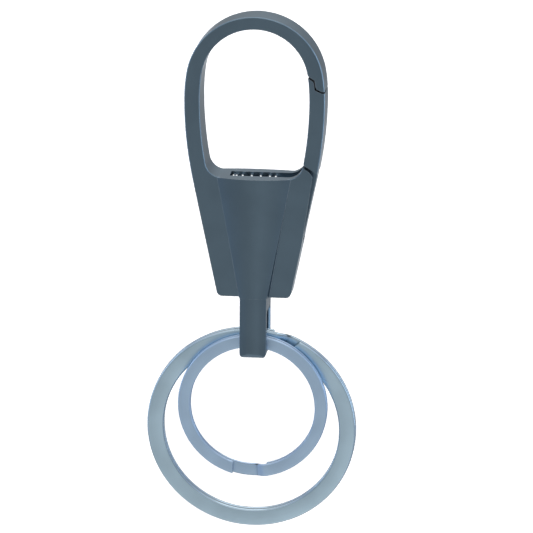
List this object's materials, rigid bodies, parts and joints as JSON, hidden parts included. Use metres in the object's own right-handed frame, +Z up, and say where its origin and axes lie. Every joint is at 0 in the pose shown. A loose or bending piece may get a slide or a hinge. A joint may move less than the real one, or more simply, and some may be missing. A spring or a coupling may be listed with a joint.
{
  "type": "key organiser",
  "caption": "Hanging key organiser: a spring-gate clip cast in one piece with a tapering stem, whose slotted eyelet carries a large and a small flat split ring.",
  "frame": {"origin": "the inside top of the clip's bow, where a strap or hook bears, in the middle of the clip's thickness", "axes": "+X to the right with the gate on the right, +Y towards the rear, where the stem's slot carries the large ring, +Z up; the object hangs upright"},
  "size_m": [0.0349, 0.0092, 0.0884],
  "materials": {
    "clip_metal": "bead-blasted satin with a dark blue-grey coating, brighter along worn edges",
    "pin_steel": "ground",
    "spring_steel": "bright drawn wire",
    "large_ring_steel": "satin faces with polished edges",
    "small_ring_steel": "tumbled matte, faintly blue"
  },
  "bodies": {
    "clip": {"clip_body": "clip_metal", "pivot_pin": "pin_steel", "gate_spring": "spring_steel"},
    "gate": {"gate": "clip_metal"},
    "large_ring": {"large_split_ring": "large_ring_steel"},
    "small_ring": {"small_split_ring": "small_ring_steel"}
  },
  "joints": [
    {"name": "gate_hinge", "type": "hinge", "parent": "clip", "child": "gate", "pos_m": [0.00725, 0, -0.02825], "axis": [0, -1, 0], "range_deg": [0, 15], "stiffness_Nm_per_rad": 0.034, "springref_deg": -12.03, "deforming": ["gate_spring"]},
    {"name": "large_ring_swing", "type": "hinge", "parent": "clip", "child": "large_ring", "pos_m": [0, -0.00052, -0.0527], "axis": [1, 0, 0], "range_deg": [0, 90]},
    {"name": "small_ring_swing", "type": "hinge", "parent": "clip", "child": "small_ring", "pos_m": [0, 0.0021, -0.05205], "axis": [1, 0, 0], "range_deg": [-90, 0]}
  ]
}
